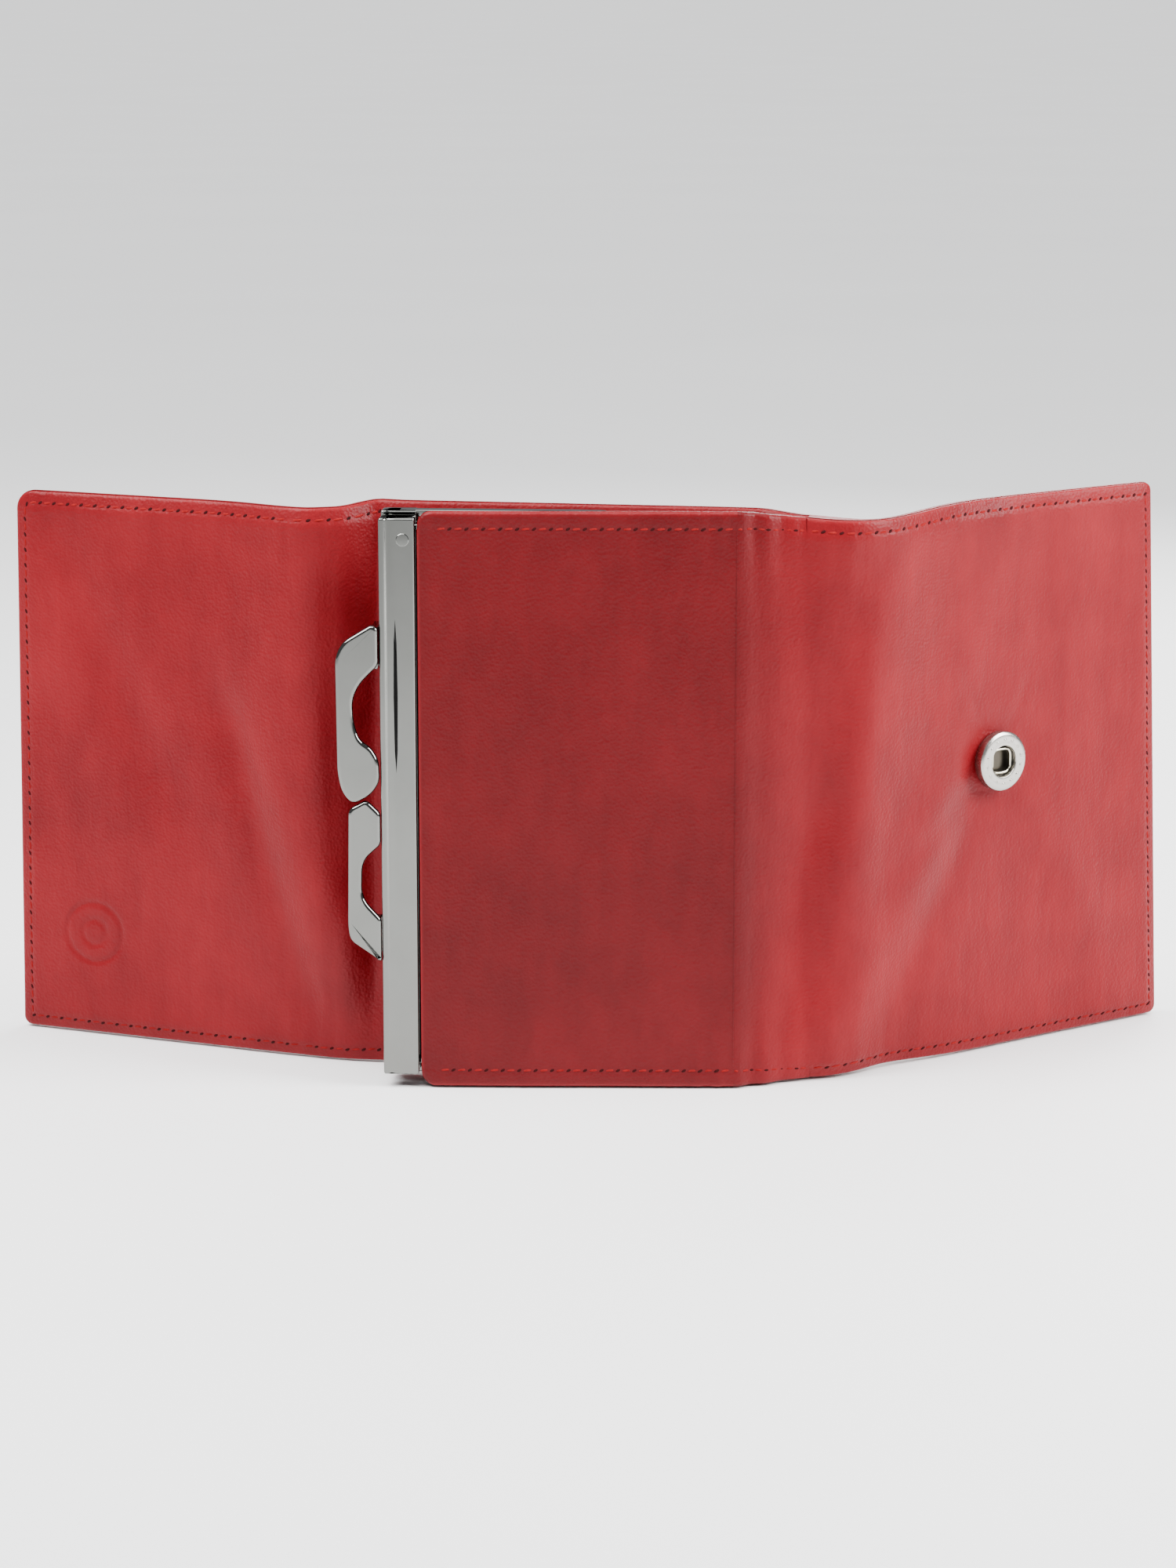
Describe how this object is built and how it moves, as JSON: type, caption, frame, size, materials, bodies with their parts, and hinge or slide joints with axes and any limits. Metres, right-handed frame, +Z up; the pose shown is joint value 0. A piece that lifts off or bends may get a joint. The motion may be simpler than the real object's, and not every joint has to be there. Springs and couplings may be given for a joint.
{
  "type": "coin purse",
  "caption": "Tri-fold leather coin purse with a framed coin pouch on hooked clasps, a banknote gap behind it and a snap-fastened wing.",
  "frame": {"origin": "middle of the back panel's lower edge, in the mid-plane of its outer leather, which is also the plane of its fold lines", "axes": "+X along the back panel towards the snap wing, +Y out of the back panel's outer face, +Z up; the purse stands open on its lower edges"},
  "size_m": [0.1911, 0.0665, 0.095],
  "materials": {
    "shell_leather": "smooth nappa, semi-gloss",
    "inside_leather": "smooth nappa, semi-gloss",
    "pouch_leather": "smooth nappa, semi-gloss",
    "lining_fabric": "plain woven",
    "stiffener_board": "uncoated",
    "paper_cord": "twisted",
    "frame_metal": "polished nickel",
    "snap_metal": "satin nickel",
    "snap_brass": "bare brass"
  },
  "bodies": {
    "back_panel": {"back_shell_leather": "shell_leather", "back_stiffener_board": "stiffener_board", "back_lining": "inside_leather"},
    "left_spine": {"left_spine_leather": "shell_leather", "left_spine_lining": "inside_leather"},
    "left_wing": {"left_wing_leather": "shell_leather", "left_wing_board": "stiffener_board", "left_wing_lining": "inside_leather", "snap_stud": "snap_metal", "stud_washer": "snap_brass"},
    "right_spine": {"right_spine_leather": "shell_leather", "right_spine_lining": "inside_leather"},
    "right_wing": {"right_wing_leather": "shell_leather", "right_wing_board": "stiffener_board", "right_wing_lining": "inside_leather", "snap_socket": "snap_metal", "snap_spring": "snap_brass", "snap_cap": "snap_metal"},
    "coin_pouch": {"pouch_rear_wall": "pouch_leather", "rear_frame_half": "frame_metal", "rear_channel_cord": "paper_cord", "upper_clasp_hook": "frame_metal", "hinge_rivet_top": "frame_metal", "hinge_rivet_bottom": "frame_metal", "pouch_front_panel": "pouch_leather", "pouch_front_lining": "lining_fabric", "pouch_end_welt": "pouch_leather", "gusset_top": "lining_fabric", "gusset_bottom": "lining_fabric"},
    "pouch_front": {"front_frame_half": "frame_metal", "front_channel_cord": "paper_cord", "lower_clasp_hook": "frame_metal", "front_wall_leather": "pouch_leather", "front_wall_lining": "lining_fabric"}
  },
  "joints": [
    {"name": "left_spine_fold", "type": "hinge", "parent": "back_panel", "child": "left_spine", "pos_m": [-0.0354, 0, 0], "axis": [0, 0, 1], "range_deg": [-35, 101]},
    {"name": "left_wing_fold", "type": "hinge", "parent": "left_spine", "child": "left_wing", "pos_m": [-0.04904, 0.00265, 0], "axis": [0, 0, 1], "range_deg": [-30, 94.5]},
    {"name": "right_spine_fold", "type": "hinge", "parent": "back_panel", "child": "right_spine", "pos_m": [0.0354, 0, 0], "axis": [0, 0, -1], "range_deg": [-30, 98]},
    {"name": "right_wing_fold", "type": "hinge", "parent": "right_spine", "child": "right_wing", "pos_m": [0.04907, 0.00192, 0], "axis": [0, 0, -1], "range_deg": [-30, 121.6]},
    {"name": "pouch_page_swing", "type": "hinge", "parent": "back_panel", "child": "coin_pouch", "pos_m": [0.0325, -0.0026, 0], "axis": [0, 0, -1], "range_deg": [-60, 5.4]},
    {"name": "purse_mouth", "type": "hinge", "parent": "coin_pouch", "child": "pouch_front", "pos_m": [0.00889, -0.00784, 0], "axis": [0, 0, -1], "range_deg": [-50, 0], "deforming": ["gusset_top", "gusset_bottom"]}
  ]
}
